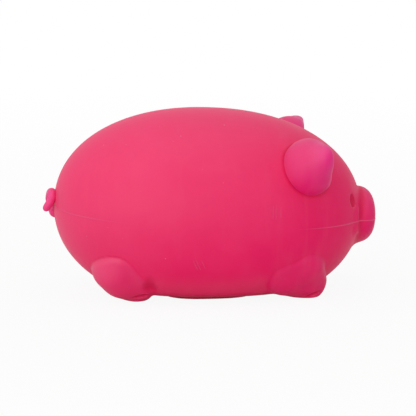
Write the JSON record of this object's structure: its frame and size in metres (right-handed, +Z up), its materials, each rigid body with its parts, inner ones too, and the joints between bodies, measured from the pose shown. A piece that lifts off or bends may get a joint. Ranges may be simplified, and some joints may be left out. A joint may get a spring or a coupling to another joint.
{
  "type": "pig squishy toy",
  "caption": "Hand-size squeezable pig figure: a soft one-colour skin over a dough-like filling, with scoop ears, round snout, curled tail, stubby legs and a round base pad.",
  "frame": {"origin": "centre of the base pad's underside, on the surface that the toy stands on", "axes": "+Z up; +X towards the snout, along the toy's length; +Y to the toy's own left"},
  "size_m": [0.1204, 0.0764, 0.0667],
  "materials": {
    "skin": "satin",
    "limbs": "satin",
    "pad": "satin",
    "plug": "satin",
    "filling": "matte"
  },
  "bodies": {
    "base": {"skin_lower": "skin", "filling": "filling", "filling_plug": "plug", "base_pad": "pad", "leg_front_left": "limbs", "leg_front_right": "limbs", "leg_rear_left": "limbs", "leg_rear_right": "limbs"},
    "back": {"skin_upper": "skin"},
    "ear_left": {"ear_left": "limbs"},
    "ear_right": {"ear_right": "limbs"},
    "snout": {"snout": "limbs"},
    "tail": {"tail": "limbs"}
  },
  "joints": [
    {"name": "squeeze", "type": "slide", "parent": "base", "child": "back", "axis": [0, 0, -1], "range_m": [0, 0.015], "stiffness_N_per_m": 1800, "deforming": ["skin_upper", "skin_lower", "filling"]},
    {"name": "ear_left_flex", "type": "hinge", "parent": "back", "child": "ear_left", "pos_m": [0.0328, 0.0247, 0.0482], "axis": [-0.3059, -0.497, 0.812], "range_deg": [-25, 40], "stiffness_Nm_per_rad": 0.04},
    {"name": "ear_right_flex", "type": "hinge", "parent": "back", "child": "ear_right", "pos_m": [0.0328, -0.0247, 0.0482], "axis": [0.3059, -0.497, -0.812], "range_deg": [-25, 40], "stiffness_Nm_per_rad": 0.04},
    {"name": "snout_drop", "type": "slide", "parent": "base", "child": "snout", "axis": [0, 0, -1], "range_m": [0, 0.0081]},
    {"name": "tail_drop", "type": "slide", "parent": "base", "child": "tail", "axis": [0, 0, -1], "range_m": [0, 0.0099]}
  ],
  "couplings": [
    {"joint": "snout_drop", "follows": "squeeze", "ratio": 0.54},
    {"joint": "tail_drop", "follows": "squeeze", "ratio": 0.66}
  ]
}
